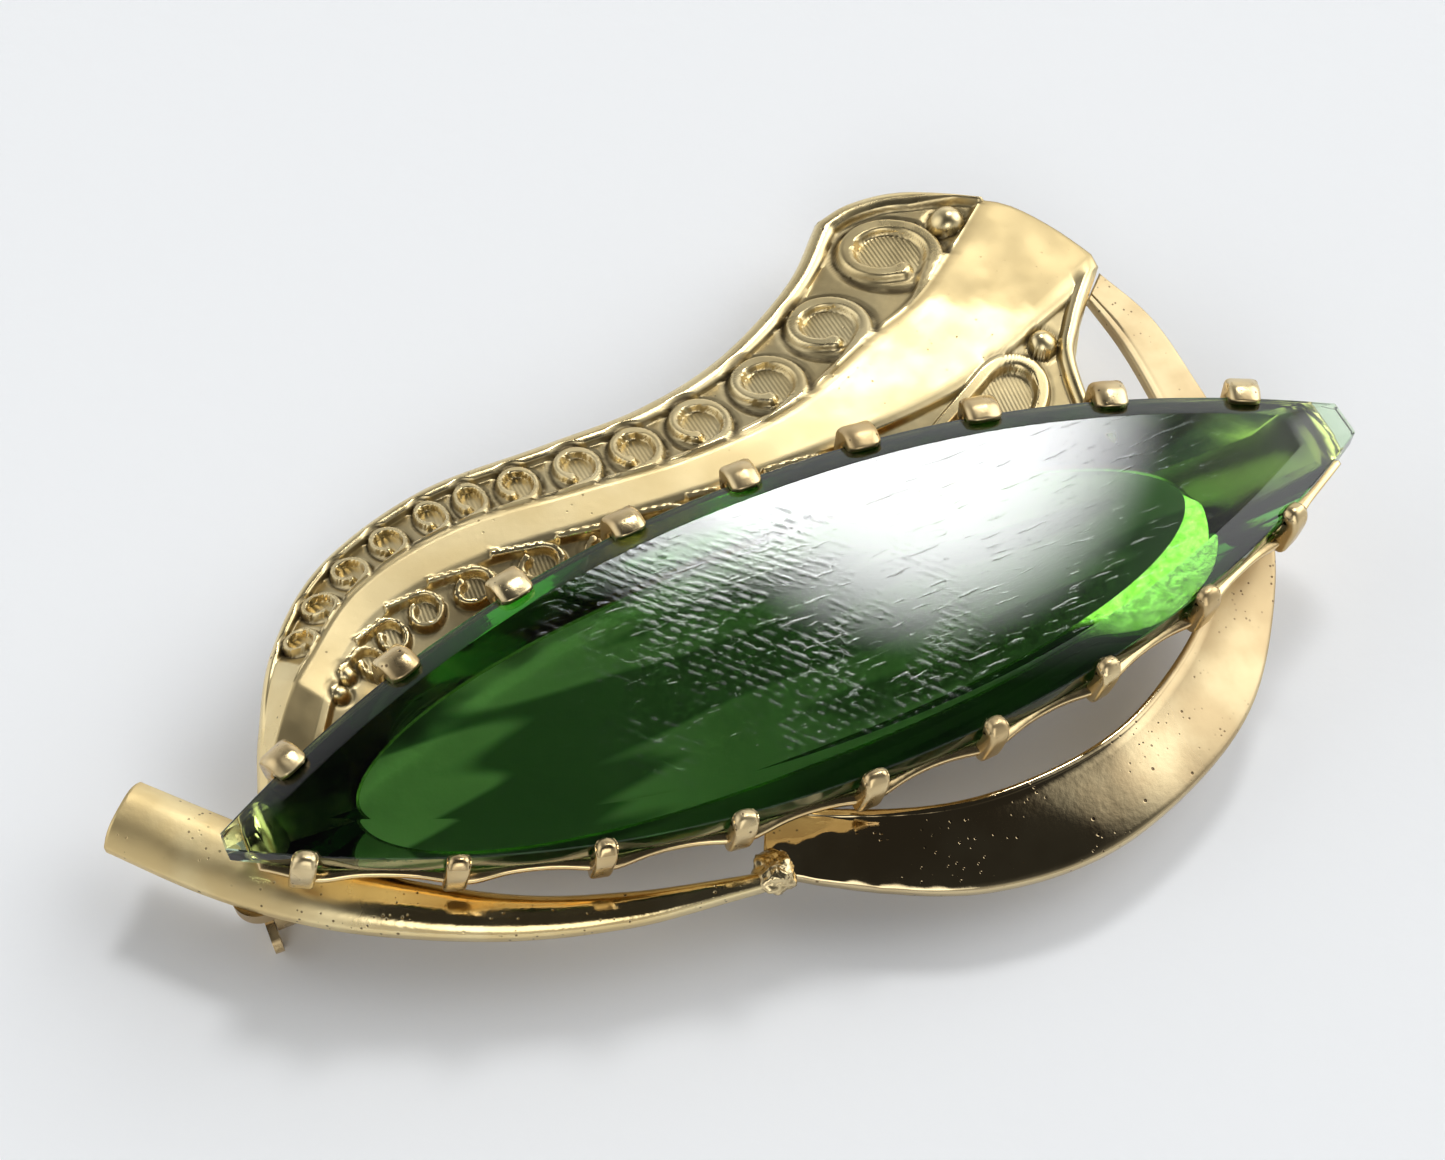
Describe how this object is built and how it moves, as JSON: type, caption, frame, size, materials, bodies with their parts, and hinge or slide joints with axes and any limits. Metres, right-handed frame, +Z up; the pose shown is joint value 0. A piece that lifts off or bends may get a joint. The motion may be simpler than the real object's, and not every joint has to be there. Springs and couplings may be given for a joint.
{
  "type": "brooch",
  "caption": "Gilt brooch: a long green marquise glass stone held by claws over an embossed plume, a crescent loop and a tail ribbon, with a hinged pin and a rolling safety catch.",
  "frame": {"origin": "middle of the brooch's footprint, on the plane that the back hardware rests on", "axes": "+X along the stone towards its loop end, +Y towards the plume, +Z up out of the face"},
  "size_m": [0.0608, 0.0378, 0.0091],
  "materials": {
    "green_glass": "polished",
    "gold_setting": "gilt, worn",
    "gold_plume": "gilt, embossed, darkened in the recesses",
    "gold_loop": "gilt, pitted and worn",
    "gold_tail": "gilt, speckled",
    "solder": "rough solder, gilt over",
    "gold_hardware": "gilt, dull",
    "pin_wire": "gilt steel wire"
  },
  "bodies": {
    "brooch": {"stone": "green_glass", "setting_tray": "gold_setting", "claw_far_1": "gold_setting", "claw_far_2": "gold_setting", "claw_far_3": "gold_setting", "claw_far_4": "gold_setting", "claw_far_5": "gold_setting", "claw_far_6": "gold_setting", "claw_far_7": "gold_setting", "claw_far_8": "gold_setting", "claw_far_9": "gold_setting", "claw_near_1": "gold_setting", "claw_near_2": "gold_setting", "claw_near_3": "gold_setting", "claw_near_4": "gold_setting", "claw_near_5": "gold_setting", "claw_near_6": "gold_setting", "claw_near_7": "gold_setting", "claw_near_8": "gold_setting", "claw_near_9": "gold_setting", "plume": "gold_plume", "tail_ribbon": "gold_tail", "loop_band": "gold_loop", "solder_joint": "solder", "pin_bar": "gold_hardware", "hinge_base": "gold_hardware", "hinge_rivet": "gold_hardware", "catch_housing": "gold_hardware"},
    "stem": {"pin_stem": "pin_wire"},
    "catch": {"catch_sleeve": "gold_hardware"}
  },
  "joints": [
    {"name": "pin_hinge", "type": "hinge", "parent": "brooch", "child": "stem", "pos_m": [0.02147, -0.00496, 0.00152], "axis": [0, -1, 0], "range_deg": [0, 80]},
    {"name": "catch_turn", "type": "hinge", "parent": "brooch", "child": "catch", "pos_m": [-0.02363, -0.00496, 0.00152], "axis": [1, 0, 0], "range_deg": [0, 110]}
  ]
}
